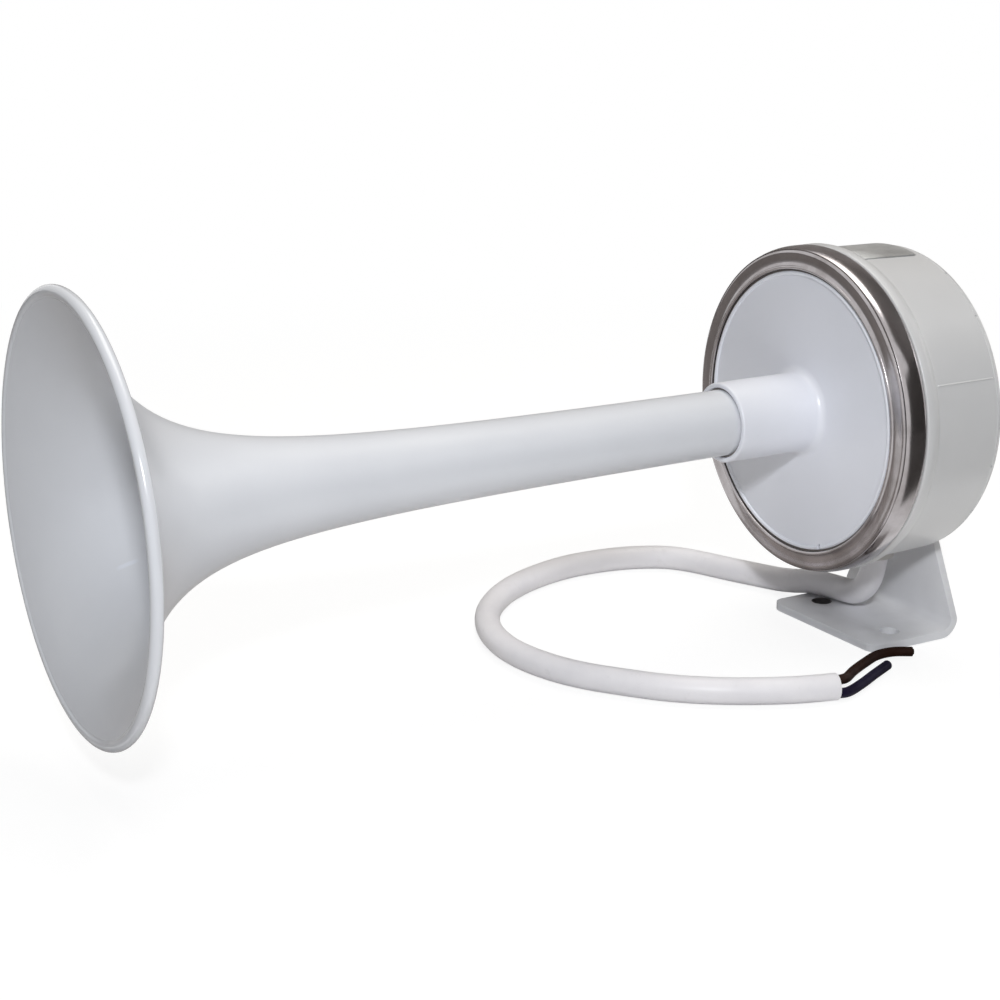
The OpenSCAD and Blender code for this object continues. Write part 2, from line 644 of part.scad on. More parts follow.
// Rubber grommet in the drum's underside, with a lip outside and one inside
module cable_grommet() color("gray") difference() {
    union() {
        translate([inlet_x, inlet_y, axis_h - inner_r - 2 * past - drum_wall])
            cylinder(r = neck_r, h = drum_wall + 3 * past);
        difference() {
            translate([inlet_x, inlet_y, grommet_z])
                cylinder(r1 = grommet_lip_r - 1, r2 = grommet_lip_r, h = grommet_lip_t + 2);
            on_axis() translate([0, 0, back_s - past]) cylinder(r = drum_r + run_gap, h = drum_depth);
        }
        intersection() {
            translate([inlet_x, inlet_y, axis_h - inner_r - past])
                cylinder(r = grommet_lip_r - 0.8, h = 3.3);
            on_axis() translate([0, 0, back_s]) cylinder(r = inner_r - run_gap, h = drum_depth);
        }
    }
    translate([inlet_x, inlet_y, grommet_z - past])
        cylinder(r = cable_r + run_gap, h = inlet_end_z - grommet_z + 2 * past);
}

module cable() color("white") swept(cable_route, cable_r, 2, 12, [1, 0, 0]);

module brown_core() color("saddlebrown") swept(brown_route, core_wire_d / 2, 2, 8, [0, 0, 1]);

module blue_core() color("navy") swept(blue_route, core_wire_d / 2, 2, 8, [0, 0, 1]);

bracket();
housing();
clamp_ring();
front_cover();
trumpet();
hub_seal();
front_gasket();
diaphragm();
rear_gasket();
armature();
armature_nut();
striker();
base_plate();
base_screws();
magnet_cup();
pole_core();
coil_bobbin();
coil_winding();
contact_block();
breaker_pin();
breaker_arm();
fixed_contact();
adjusting_screw();
lock_nut();
capacitor();
terminal_block();
terminal_screws();
inner_leads();
rear_stud();
spacer();
stud_washer();
stud_nut();
cable_grommet();
cable();
brown_core();
blue_core();
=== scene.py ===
"""Electric trumpet horn on its foot bracket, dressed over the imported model, in metres."""

import math

import bpy
from mathutils import Matrix, Vector


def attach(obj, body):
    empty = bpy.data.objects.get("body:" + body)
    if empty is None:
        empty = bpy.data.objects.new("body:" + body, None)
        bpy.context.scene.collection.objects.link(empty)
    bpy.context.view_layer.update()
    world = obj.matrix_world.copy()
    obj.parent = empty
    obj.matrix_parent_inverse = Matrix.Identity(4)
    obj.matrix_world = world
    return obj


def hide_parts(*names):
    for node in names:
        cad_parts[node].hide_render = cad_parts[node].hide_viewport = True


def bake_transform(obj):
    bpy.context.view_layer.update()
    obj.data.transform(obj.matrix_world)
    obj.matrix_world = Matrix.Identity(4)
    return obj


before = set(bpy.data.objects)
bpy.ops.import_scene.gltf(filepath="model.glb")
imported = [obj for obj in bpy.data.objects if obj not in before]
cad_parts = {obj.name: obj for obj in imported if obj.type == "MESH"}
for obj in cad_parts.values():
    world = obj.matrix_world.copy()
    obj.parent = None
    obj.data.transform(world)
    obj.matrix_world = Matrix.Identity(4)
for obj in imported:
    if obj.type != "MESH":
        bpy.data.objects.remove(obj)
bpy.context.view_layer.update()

MM = 0.001
AXIS_HEIGHT = 0.0875
DRUM_FRONT = -0.032
DRUM_TURN = math.radians(18.5)
ROUND = 144
WELD = 0.000004


# Camera

right = Vector((0.50705, 0.86192, 0.0008))
forward = Vector((-0.82796, 0.48733, -0.27747))
above = right.cross(forward)
bpy.ops.object.camera_add(location=(0.5839, -0.5016, 0.2678))
camera = bpy.context.object
camera.name = "camera"
camera.rotation_euler = Matrix((right, above, -forward)).transposed().to_euler()
camera.data.lens = 75.21
camera.data.sensor_width = 36
camera.data.clip_end = 50
bpy.context.scene.camera = camera
bpy.context.scene.view_settings.view_transform = "Standard"


# Cable and its two cores

CABLE_RADIUS = 0.0048
CORE_RADIUS = 0.0018
CABLE_ROUTE = [
    (0.004, 0.005, 0.037), (0.004, 0.005, 0.028), (0.004, 0.005, 0.0255), (0.002, 0.005, 0.0185),
    (-0.002, 0.0055, 0.013), (-0.008, 0.006, 0.0095), (-0.015, 0.0065, 0.0082), (-0.022, 0.005, 0.0081),
    (-0.029, 0.003, 0.008), (-0.036, 0.0005, 0.0066), (-0.045, -0.0015, 0.0051), (-0.057, -0.0065, 0.0049),
    (-0.066, -0.0105, 0.0049), (-0.075, -0.014, 0.0049), (-0.084, -0.018, 0.0049), (-0.091, -0.023, 0.0049),
    (-0.096, -0.03, 0.0049), (-0.1, -0.04, 0.0049), (-0.102, -0.052, 0.0049), (-0.102, -0.065, 0.0049),
    (-0.099, -0.079, 0.0049), (-0.093, -0.094, 0.0049), (-0.084, -0.108, 0.0049), (-0.071, -0.121, 0.0049),
    (-0.056, -0.13, 0.0049), (-0.04, -0.135, 0.0049), (-0.024, -0.136, 0.0049), (-0.008, -0.133, 0.0049),
    (0.006, -0.127, 0.0049), (0.019, -0.118, 0.0049), (0.031, -0.108, 0.0049), (0.041, -0.096, 0.0049),
    (0.049, -0.083, 0.0049), (0.055, -0.07, 0.0049), (0.059, -0.057, 0.0049),
]
BROWN_ROUTE = [
    (0.0575, -0.0585, 0.0067), (0.0555, -0.052, 0.0054), (0.05, -0.045, 0.003), (0.044, -0.037, 0.0019),
    (0.0395, -0.028, 0.0019), (0.036, -0.0195, 0.0019), (0.036, -0.012, 0.0019), (0.0395, -0.0055, 0.0019),
]
BLUE_ROUTE = [
    (0.0595, -0.0585, 0.0028), (0.0595, -0.0525, 0.0021), (0.0555, -0.043, 0.0019),
    (0.0505, -0.033, 0.0019), (0.0455, -0.0225, 0.0019),
]


def smooth_path(route, parts):
    """Points of a smooth curve through a route's points."""
    knots = [Vector(point) for point in route]
    path = []
    for index in range(len(knots) - 1):
        before = knots[max(index - 1, 0)]
        start = knots[index]
        end = knots[index + 1]
        after = knots[min(index + 2, len(knots) - 1)]
        for part in range(parts):
            t = part / parts
            bend = (2 * before - 5 * start + 4 * end - after) * t * t
            twist = (3 * start - before - 3 * end + after) * t * t * t
            path.append(0.5 * (2 * start + (end - before) * t + bend + twist))
    path.append(knots[-1])
    return path


def sheathed_tube(name, path, radius, sides, far_rings):
    """A tube along a path, closed at its start and finished at its far end by (inset, radius) rings."""
    rings = [(point, radius) for point in path[:-1]]
    last = (path[-1] - path[-2]).normalized()
    rings += [(path[-1] - last * inset, ring_radius) for inset, ring_radius in far_rings]
    ways = [(path[min(i + 1, len(path) - 1)] - path[max(i - 1, 0)]).normalized() for i in range(len(path))]
    ways += [last] * (len(rings) - len(ways))
    side = Vector((1, 0, 0))
    points = []
    for (point, ring_radius), way in zip(rings, ways):
        side = (side - way * side.dot(way)).normalized()
        other = way.cross(side)
        for step in range(sides):
            angle = math.tau * step / sides
            points.append(point + ring_radius * (math.cos(angle) * side + math.sin(angle) * other))
    faces = []
    for ring in range(len(rings) - 1):
        for step in range(sides):
            here = ring * sides + step
            beside = ring * sides + (step + 1) % sides
            faces.append((here, beside, beside + sides, here + sides))
    faces.append(tuple(reversed(range(sides))))
    faces.append(tuple(range((len(rings) - 1) * sides, len(rings) * sides)))
    mesh = bpy.data.meshes.new(name)
    mesh.from_pydata(points, [], faces)
    lengths = [0.0]
    for before, after in zip(rings, rings[1:]):
        lengths.append(lengths[-1] + (after[0] - before[0]).length)
    along = mesh.attributes.new("along", "FLOAT", "POINT")
    along.data.foreach_set("value", [length for length in lengths for step in range(sides)])
    mesh.update()
    tube = bpy.data.objects.new(name, mesh)
    bpy.context.collection.objects.link(tube)
    for polygon in mesh.polygons:
        polygon.use_smooth = len(polygon.vertices) == 4
    smooth_edges(tube, 40)
    return tube


def pick(piece):
    """Leaves one object selected and active."""
    bpy.ops.object.select_all(action="DESELECT")
    piece.select_set(True)
    bpy.context.view_layer.objects.active = piece


def smooth_edges(piece, degrees):
    pick(piece)
    bpy.ops.object.shade_smooth_by_angle(angle=math.radians(degrees))


def path_length(path):
    return sum((after - before).length for before, after in zip(path, path[1:]))


cable_path = smooth_path(CABLE_ROUTE, 8)
sheath_end = [(0.0005, CABLE_RADIUS), (0.00015, 0.00465), (0, 0.0043), (0, 0.0040), (0.0008, 0.0038)]
cable = sheathed_tube("cable_sheath", cable_path, CABLE_RADIUS, 28, sheath_end)
core_end = [(0.0003, CORE_RADIUS), (0.0001, 0.0017), (0, 0.0015), (0, 0.0011), (-0.0004, 0.001)]
brown_path = smooth_path(BROWN_ROUTE, 8)
brown_core = sheathed_tube("brown_wire_core", brown_path, CORE_RADIUS, 20, core_end)
blue_path = smooth_path(BLUE_ROUTE, 8)
blue_core = sheathed_tube("blue_wire_core", blue_path, CORE_RADIUS, 20, core_end)


# Modelling by operators

def line_through(name, points):
    """A line of edges through points, drawn by extruding one vertex, left in edit mode."""
    bpy.ops.object.select_all(action="DESELECT")
    bpy.ops.mesh.primitive_plane_add(size=0.001, location=points[0])
    piece = bpy.context.object
    piece.name = name
    bpy.ops.object.transform_apply(location=True, rotation=True, scale=True)
    bpy.ops.object.mode_set(mode="EDIT")
    bpy.ops.mesh.select_all(action="SELECT")
    bpy.ops.mesh.merge(type="CENTER")
    for before, after in zip(points, points[1:]):
        move = Vector(after) - Vector(before)
        bpy.ops.mesh.extrude_region_move(TRANSFORM_OT_translate={"value": move})
    return piece


def turned(name, outline, middle, along, across, steps=ROUND, angle=math.tau, smooth=32):
    """A shape spun about a line from points of (radius, distance along it), in millimetres."""
    middle = Vector(middle)
    along = Vector(along)
    across = Vector(across)
    points = [middle + (along * far + across * radius) * MM for radius, far in outline]
    piece = line_through(name, points)
    bpy.ops.mesh.select_all(action="SELECT")
    bpy.ops.mesh.spin(steps=steps, angle=-angle, center=middle, axis=along)
    bpy.ops.mesh.select_all(action="SELECT")
    bpy.ops.mesh.remove_doubles(threshold=WELD)
    bpy.ops.mesh.normals_make_consistent(inside=False)
    bpy.ops.object.mode_set(mode="OBJECT")
    smooth_edges(piece, smooth)
    return piece


HORN_MIDDLE = (0, DRUM_FRONT, AXIS_HEIGHT)


def on_horn(name, outline, **more):
    """A shape turned about the horn axis, from (radius, distance ahead of the drum's front)."""
    return turned(name, outline, HORN_MIDDLE, (0, -1, 0), (0, 0, 1), **more)


def arc(centre, radius, start, end, parts=8):
    """Points on an arc in an outline, its angles in degrees."""
    turns = [math.radians(start + (end - start) * part / parts) for part in range(parts + 1)]
    return [(centre[0] + radius * math.cos(turn), centre[1] + radius * math.sin(turn)) for turn in turns]


def drum_point(degrees, radius, far):
    """A point by its angle from the drum's own top towards +X, its radius and its distance ahead."""
    turn = math.radians(degrees) - DRUM_TURN
    sideways = radius * math.sin(turn) * MM
    upwards = radius * math.cos(turn) * MM
    return Vector((sideways, DRUM_FRONT - far * MM, AXIS_HEIGHT + upwards))


def apply_modifier(piece, kind, **settings):
    pick(piece)
    modifier = piece.modifiers.new(kind.lower(), kind)
    for setting, value in settings.items():
        setattr(modifier, setting, value)
    bpy.ops.object.modifier_apply(modifier=modifier.name)


def cut(piece, cutter, operation="DIFFERENCE"):
    """Cuts a piece by another one, which is then gone."""
    apply_modifier(piece, "BOOLEAN", operation=operation, solver="EXACT", object=cutter)
    bpy.data.objects.remove(cutter)


def rod(name, start, end, radius, sides=32):
    """A round cutter between two points."""
    start = Vector(start)
    end = Vector(end)
    way = end - start
    turn = way.to_track_quat("Z", "Y").to_euler()
    bpy.ops.object.select_all(action="DESELECT")
    place = (start + end) / 2
    bpy.ops.mesh.primitive_cylinder_add(
        vertices=sides, radius=radius, depth=way.length, location=place, rotation=turn)
    made = bpy.context.object
    made.name = name
    bpy.ops.object.transform_apply(location=True, rotation=True, scale=True)
    return made


def round_edges(piece, width, degrees=40, segments=3):
    """Rounds the sharp edges of a piece and smooths it."""
    apply_modifier(
        piece, "BEVEL", width=width, segments=segments, limit_method="ANGLE",
        angle_limit=math.radians(degrees), miter_outer="MITER_ARC")
    smooth_edges(piece, degrees)


def joined(name, pieces):
    """Several meshes as one."""
    bpy.ops.object.select_all(action="DESELECT")
    for piece in pieces:
        piece.select_set(True)
    bpy.context.view_layer.objects.active = pieces[0]
    bpy.ops.object.join()
    pieces[0].name = name
    return pieces[0]


# Trumpet: one thin flared shell with a rolled rim

RIM = (68.9, 274)
RIM_BEAD = 2
HORN_WALL = 1.8
HUB_END = 35
THROAT = 11.8
TUBE_SLOPE = 0.002
REACH = RIM[1] - HUB_END
RISE = RIM[0] - THROAT - TUBE_SLOPE * REACH
STEEP = 15.5
SLOW = 44
MOUTH_LEAN = math.radians(1.2)
LEAN_START = 214
LEAN_RUN = 60


def growth(far, length):
    """How much of its rise a growth of this length has at a distance, and its slope there."""
    here = math.exp(max(0.0, far - HUB_END) / length)
    full = math.exp(REACH / length) - 1
    return Vector(((here - 1) / full, here / length / full))


def horn_shape(far):
    """Outside radius and slope of the horn: a steep flare upon a slow swelling."""
    rise = RISE * (0.65 * growth(far, STEEP) + 0.35 * growth(far, SLOW))
    return THROAT + TUBE_SLOPE * max(0.0, far - HUB_END) + rise[0], TUBE_SLOPE + rise[1]


def horn_inside(far):
    """The point of the inner wall behind the outer wall's point at this distance."""
    radius, slope = horn_shape(far)
    shift = HORN_WALL / math.hypot(1, slope)
    return (radius - shift, far + shift * slope)


def rim_angle(point):
    """The angle of an outline's point about the middle of the rim's bead, in degrees."""
    return math.degrees(math.atan2(point[1] - RIM[1], point[0] - RIM[0]))


def horn_steps(last):
    """Distances from the horn's back to the last one, closer together towards the bell."""
    return [13 + (last - 13) * (1 - (1 - step / 60) ** 2.1) for step in range(61)]


outer_wall = [(horn_shape(far)[0], far) for far in horn_steps(273.32)]
inner_wall = [horn_inside(far) for far in reversed(horn_steps(273.71))]
rim_roll = arc(RIM, RIM_BEAD, rim_angle(outer_wall[-1]), rim_angle(inner_wall[0]), 26)
back_collar = [(10, 4), (12.55, 4), (12.55, 12.2), (12.2, 12.6)]
horn_outline = back_collar + outer_wall + rim_roll[1:] + inner_wall[1:] + [(10, 4)]
trumpet = on_horn("horn_trumpet", horn_outline, steps=168)
for vertex in trumpet.data.vertices:
    near_rim = min(max((DRUM_FRONT - vertex.co.y) / MM - LEAN_START, 0) / LEAN_RUN, 1)
    vertex.co.y -= math.tan(MOUTH_LEAN) * vertex.co.x * near_rim ** 2 * (3 - 2 * near_rim)


# Front cover with the hub that the horn plugs into

cover_outline = (
    [(8, -1.6), (52, -1.6), (52, -2.4), (58.8, -2.4), (58.8, 0)]
    + arc((50.3, 0), 0.75, 0, 180, 8)
    + arc((17.4, 3), 3, 270, 180, 10)
    + arc((13.6, 34.2), 0.8, 0, 90, 6)
    + arc((13.0, 34.6), 0.4, 90, 180, 4)
    + [(12.6, 4), (8, 4), (8, -1.6)])
front_cover = on_horn("front_cover_disc", cover_outline)
cut(front_cover, rod("drain", drum_point(180, 50.2, -4), drum_point(180, 50.2, 3), 1 * MM))
smooth_edges(front_cover, 32)
hub_seal = on_horn("hub_seal_ring", [(12.6, 28), (12.6, 33.8), (11.85, 34.1), (11.85, 28), (12.6, 28)])


# Clamping ring of rolled sheet

side_turns = [math.radians(90 * step / 14) for step in range(1, 15)]
rolled_side = [(57.7 + 2.3 * math.sin(turn), -4.9 + 5.45 * math.cos(turn)) for turn in side_turns]
ring_outline = (
    [(51.8, 0)]
    + arc((52.55, 0.4), 0.75, 180, 25, 12)
    + [(53.5, 0.55), (54.4, 0.43), (55.6, 0.4), (56.8, 0.42), (57.7, 0.56)]
    + rolled_side
    + [(59.99, -7.4), (59.86, -8.3), (59.55, -8.9), (59.1, -9.3), (58.6, -9.4)]
    + [(56.8, -9.4), (56.8, -7.2), (59, -7.2), (59, 0), (51.8, 0)])
clamp_ring = on_horn("clamping_ring", ring_outline, steps=168)


# Drum

drum_outline = (
    [(54, -4.5), (58.8, -4.5), (58.8, -7.15), (56.6, -7.15), (56.6, -9.5)]
    + arc((59.1, -10.2), 0.7, 90, 10, 5)
    + [(60.05, -11), (60.1, -12.2), (59.85, -13.4), (59.35, -14.4), (58.7, -15.2)]
    + [(58.15, -15.8), (57.88, -16.4), (57.86, -17)]
    + [(57.6, -26), (57.2, -43.4), (56.98, -43.55), (56.95, -43.85), (57.1, -44.0)]
    + arc((53.1, -43.6), 4, -6, -90, 12)
    + [(22, -47.5), (21.4, -47.1), (16.6, -47.1), (16, -47.5)]
    + [(4.05, -47.5), (4.05, -44.5), (53, -44.5), (54, -43.5), (54, -4.5)])
drum = on_horn("drum_shell", drum_outline, steps=168)
for nick_turn in (45.5, 66.5, 122.6, 143.6):
    nick_start = drum_point(nick_turn, 55.2, -43.2)
    nick_end = drum_point(nick_turn, 60, -45.6)
    cut(drum, rod("nick", nick_start, nick_end, 0.45 * MM, 12))
cut(drum, rod("cable_hole", (0.004, 0.005, 0.024), (0.004, 0.005, 0.036), 5.75 * MM, 48))
adjuster_place = Vector((0.037313, 0.0155, 0.08944))
hole_start = adjuster_place - Vector((0, 0.006, 0))
hole_end = adjuster_place + Vector((0, 0.002, 0))
cut(drum, rod("adjuster_hole", hole_start, hole_end, 2.05 * MM))
smooth_edges(drum, 32)


def drum_strip(name, first, last, outline, steps):
    """A shape spun part of the way round the drum, from one angle of its own to another."""
    turn = math.radians(first) - DRUM_TURN
    across = (math.sin(turn), 0, math.cos(turn))
    angle = math.radians(last - first)
    return turned(name, outline, HORN_MIDDLE, (0, 1, 0), across, steps=steps, angle=angle)


plate_outline = [(57.95, 17), (57.62, 40.5)]
plate = drum_strip("bare_plate", -32, 32, plate_outline, 30)
apply_modifier(plate, "SOLIDIFY", thickness=0.5 * MM, offset=0)
round_edges(plate, 0.12 * MM, 60, 2)
seam_outline = [(57.8, 16.7), (57.92, 18), (57.72, 26), (57.35, 42), (57.2, 43.5)]
seams = []
for place in (90, 270):
    seams.append(drum_strip("seam", place - 0.25, place + 0.25, seam_outline, 3))
    apply_modifier(seams[-1], "SOLIDIFY", thickness=0.16 * MM, offset=0)
drum_seams = joined("drum_parting_lines", seams)


# Stud, spacer, washer and nut behind the drum, and the adjusting screw

def threaded(radius, start, end, pitch, depth):
    """Outline points of a threaded length."""
    turns = int(abs(end - start) / pitch)
    step = (end - start) / turns
    points = []
    for turn in range(turns):
        points += [(radius, start + step * (turn + 0.2)), (radius - depth, start + step * (turn + 0.7))]
    return points


stud_outline = (
    [(0, -40.5), (8.4, -40.5), (9, -41.1), (9, -44.5), (4, -44.5), (4, -56)]
    + threaded(4, -56, -66.2, 1.25, 0.5)
    + [(3.4, -66.3), (2.9, -66.6), (0, -66.6)])
stud = on_horn("drum_stud", stud_outline, steps=64)
spacer_outline = [(4.05, -52.95), (11.4, -52.95)] + arc((11.4, -52.35), 0.6, -90, 0, 4)
spacer_outline += arc((11.4, -48.1), 0.6, 0, 90, 4) + [(4.05, -47.5), (4.05, -52.95)]
spacer = on_horn("drum_spacer", spacer_outline, steps=72)
washer_outline = [(4.05, -56.05), (8.1, -56.05), (8.4, -56.3), (8.4, -57.3), (8.1, -57.65), (4.3, -57.65)]
washer = on_horn("stud_washer_disc", washer_outline + [(4.05, -57.4), (4.05, -56.05)], steps=64)


def hex_nut(name, middle, along, flats, height, bore):
    """A hexagonal nut from a six-sided prism, chamfered by a turned cutter and bored."""
    middle = Vector(middle)
    along = Vector(along)
    corner = flats / 2 / math.cos(math.pi / 6)
    inner = flats / 2 * 0.97
    slope = (corner - inner) * 0.55
    nut = rod(name, middle, middle + along * height * MM, corner * MM, 6)
    limit = [(0, -0.5), (inner, -0.5), (inner, 0), (corner, slope), (corner, height - slope)]
    limit += [(inner, height), (inner, height + 0.5), (0, height + 0.5)]
    across = along.orthogonal().normalized()
    cut(nut, turned("limit", limit, middle, along, across, steps=96), "INTERSECT")
    past = along * 2 * MM
    cut(nut, rod("bore", middle - past, middle + along * height * MM + past, bore * MM, 48))
    round_edges(nut, 0.12 * MM, 25, 2)
    return nut


stud_nut = hex_nut("stud_nut_hex", (0, DRUM_FRONT + 0.05765, AXIS_HEIGHT), (0, 1, 0), 13, 6.4, 4.05)
lock_nut = hex_nut("adjuster_lock_nut", adjuster_place, (0, 1, 0), 7, 3.2, 2.05)
screw_outline = (
    [(0, -30.6), (2, -30.6), (2, -3.8), (2, -2)]
    + threaded(2, -2, 5.6, 0.7, 0.28)
    + [(1.7, 5.8), (1.45, 6), (0, 6)])
adjuster = turned("adjuster_screw", screw_outline, adjuster_place, (0, 1, 0), (0, 0, 1), steps=40)
bpy.ops.object.select_all(action="DESELECT")
slot_middle = adjuster_place + Vector((0, 0.006, 0))
bpy.ops.mesh.primitive_cube_add(size=1, location=slot_middle, scale=(0.008, 0.002, 0.001))
slot_cutter = bpy.context.object
bpy.ops.object.transform_apply(location=True, rotation=True, scale=True)
pick(slot_cutter)
slot_turn = Matrix.Rotation(DRUM_TURN, 4, "Y").inverted()
there = Matrix.Translation(adjuster_place)
slot_cutter.data.transform(there @ slot_turn @ Matrix.Translation(-adjuster_place))
cut(adjuster, slot_cutter)
smooth_edges(adjuster, 32)


# Foot bracket: a sheet foot, bent up into the leg behind the drum

SHEET = 3
FOOT_HALF = 30.5
FOOT_FRONT = -16.5
FOOT_CORNER = 5
BEND_START = 17
BEND_MIDDLE = 7
NECK_START = 43
NECK_SWEEP = 45
LEG_TOP = 14
FAR_HOLE = (-0.02, 0, 0)
NEAR_HOLE = (0.02, 0, 0)
FOOT_HOLE = 0.00375


def foot_points():
    """Half of the foot's outline, from its front middle to the bend."""
    corner = (FOOT_HALF - FOOT_CORNER, FOOT_FRONT + FOOT_CORNER)
    return arc(corner, FOOT_CORNER, -90, 0, 10) + [(FOOT_HALF, BEND_START)]


def leg_points():
    """Half width and height of the leg, from the bend to its round top."""
    lean = math.atan((FOOT_HALF - LEG_TOP) / (NECK_START - BEND_MIDDLE))
    middle = (LEG_TOP + NECK_SWEEP, NECK_START + NECK_SWEEP * math.tan(lean / 2))
    sweep = arc(middle, NECK_SWEEP, 180 + math.degrees(lean), 180, 12)
    return [(FOOT_HALF, BEND_MIDDLE)] + sweep + arc((0, AXIS_HEIGHT / MM), LEG_TOP, 0, 84, 14)


half = foot_points()
foot_line = half + [(-x, y) for x, y in reversed(half)] + [half[0]]
bracket = line_through("foot_bracket", [(x * MM, y * MM, 0) for x, y in foot_line])
bpy.ops.mesh.select_all(action="SELECT")
bpy.ops.mesh.remove_doubles(threshold=WELD)
bpy.ops.mesh.edge_face_add()
bpy.ops.mesh.extrude_region_move(TRANSFORM_OT_translate={"value": (0, 0, SHEET * MM)})
bpy.ops.mesh.select_all(action="DESELECT")
bpy.ops.object.mode_set(mode="OBJECT")
for polygon in bracket.data.polygons:
    polygon.select = polygon.center.y > (BEND_START - 0.1) * MM
bpy.ops.object.mode_set(mode="EDIT")
bpy.ops.mesh.select_mode(type="FACE")
bend_middle = (0, BEND_START * MM, BEND_MIDDLE * MM)
bpy.ops.mesh.spin(steps=8, angle=-math.pi / 2, center=bend_middle, axis=(1, 0, 0))
leg = leg_points()
for (wide, low), (narrow, high) in zip(leg, leg[1:]):
    bpy.ops.mesh.extrude_region_move(TRANSFORM_OT_translate={"value": (0, 0, (high - low) * MM)})
    bpy.ops.transform.resize(value=(narrow / wide, 1, 1), center_override=(0, 0, 0))
bpy.ops.mesh.select_mode(type="VERT")
bpy.ops.mesh.select_all(action="SELECT")
bpy.ops.mesh.remove_doubles(threshold=WELD)
bpy.ops.mesh.normals_make_consistent(inside=False)
bpy.ops.object.mode_set(mode="OBJECT")
for hole in (FAR_HOLE, NEAR_HOLE):
    hole_start = Vector(hole) - Vector((0, 0, 0.002))
    hole_end = Vector(hole) + Vector((0, 0, 0.006))
    cut(bracket, rod("foot_hole", hole_start, hole_end, FOOT_HOLE, 48))
cut(bracket, rod("stud_hole", (0, 0.019, AXIS_HEIGHT), (0, 0.026, AXIS_HEIGHT), 4.05 * MM, 48))
round_edges(bracket, 0.55 * MM, 38, 3)


# Grommet round the cable

grommet_outline = (
    [(4.85, -2), (6.4, -2)] + arc((6.4, -1.3), 0.7, -90, 0, 5) + [(7.1, 1.2)]
    + [(5.7, 1.6), (5.7, 5), (6.3, 5.2), (6.3, 7.2), (4.85, 7.2), (4.85, -2)])
grommet_place = (0.004, 0.005, 0.0295)
grommet = turned("cable_grommet_bush", grommet_outline, grommet_place, (0, 0, 1), (1, 0, 0), steps=48)


# Finishes

class Value:
    """What one socket of a finish gives, with arithmetic that adds Math nodes."""

    def __init__(self, finish, socket):
        self.finish = finish
        self.socket = socket

    def math(self, operation, *terms):
        return self.finish.node("ShaderNodeMath", {"operation": operation}, dict(enumerate(terms)))

    def __add__(self, other):
        return self.math("ADD", self, other)

    def __sub__(self, other):
        return self.math("SUBTRACT", self, other)

    def __rsub__(self, other):
        return self.math("SUBTRACT", other, self)

    def __mul__(self, other):
        return self.math("MULTIPLY", self, other)

    def __pow__(self, other):
        return self.math("POWER", self, other)


class Finish:
    """A material and the nodes that draw it."""

    def __init__(self, name, **constants):
        self.material = bpy.data.materials.new(name)
        self.material.use_nodes = True
        self.tree = self.material.node_tree
        self.shader = self.tree.nodes["Principled BSDF"]
        for socket, value in constants.items():
            self.shader.inputs[socket.replace("_", " ")].default_value = value

    def node(self, kind, settings, sockets, output=0):
        """Any node, by its type, its settings and what goes into its sockets."""
        made = self.tree.nodes.new(kind)
        for setting, value in settings.items():
            setattr(made, setting, value)
        for socket, value in sockets.items():
            self.put(made.inputs[socket], value)
        return Value(self, made.outputs[output])

    def put(self, socket, value):
        if isinstance(value, Value):
            self.tree.links.new(value.socket, socket)
        else:
            socket.default_value = value

    def feed(self, **inputs):
        """Puts values into the shader's sockets, named with low lines for spaces."""
        for socket, value in inputs.items():
            self.put(self.shader.inputs[socket.replace("_", " ")], value)

    def place(self, centre=(0, 0, 0), turn=(0, 0, 0), stretch=(1, 1, 1)):
        """Points of the surface, from a centre, turned and stretched."""
        points = self.node("ShaderNodeTexCoord", {}, {}, "Object")
        shift = tuple(-value for value in centre)
        moved = self.node("ShaderNodeMapping", {}, {"Vector": points, "Location": shift})
        return self.node("ShaderNodeMapping", {}, {"Vector": moved, "Rotation": turn, "Scale": stretch})

    def part(self, vector, axis):
        """One of a vector's three parts."""
        return self.node("ShaderNodeSeparateXYZ", {}, {0: vector}, axis)

    def noise(self, scale, detail=4, rough=0.5, where=None):
        """Cloudy noise over the surface's own points, or over others."""
        sockets = {"Scale": scale, "Detail": detail, "Roughness": rough}
        sockets["Vector"] = where or self.place()
        return self.node("ShaderNodeTexNoise", {}, sockets)

    def range(self, value, low, high, to_low=0.0, to_high=1.0):
        """A value's span from low to high, as a soft step between two others."""
        sockets = {"Value": value, 1: low, 2: high, 3: to_low, 4: to_high}
        return self.node("ShaderNodeMapRange", {"interpolation_type": "SMOOTHSTEP"}, sockets)

    def mix(self, share, first, second):
        """A colour between two colours."""
        return self.node("ShaderNodeMix", {"data_type": "RGBA"}, {0: share, 6: first, 7: second}, 2)

    def bump(self, height, distance, under=None):
        """A relief of this height's changes, by a distance in metres, over another one."""
        sockets = {"Height": height, "Distance": distance}
        if under:
            sockets["Normal"] = under
        return self.node("ShaderNodeBump", {}, sockets)

    def round_axis(self):
        """Distance from the horn axis, distance ahead along it and the turn about it."""
        where = self.place(HORN_MIDDLE)
        across = self.part(where, "X")
        ahead = self.part(where, "Y")
        upward = self.part(where, "Z")
        radius = (across * across + upward * upward) ** 0.5
        turn = self.node("ShaderNodeMath", {"operation": "ARCTAN2"}, {0: across, 1: upward})
        return radius, ahead * -1, turn


def tone(red, green, blue):
    return (red, green, blue, 1.0)


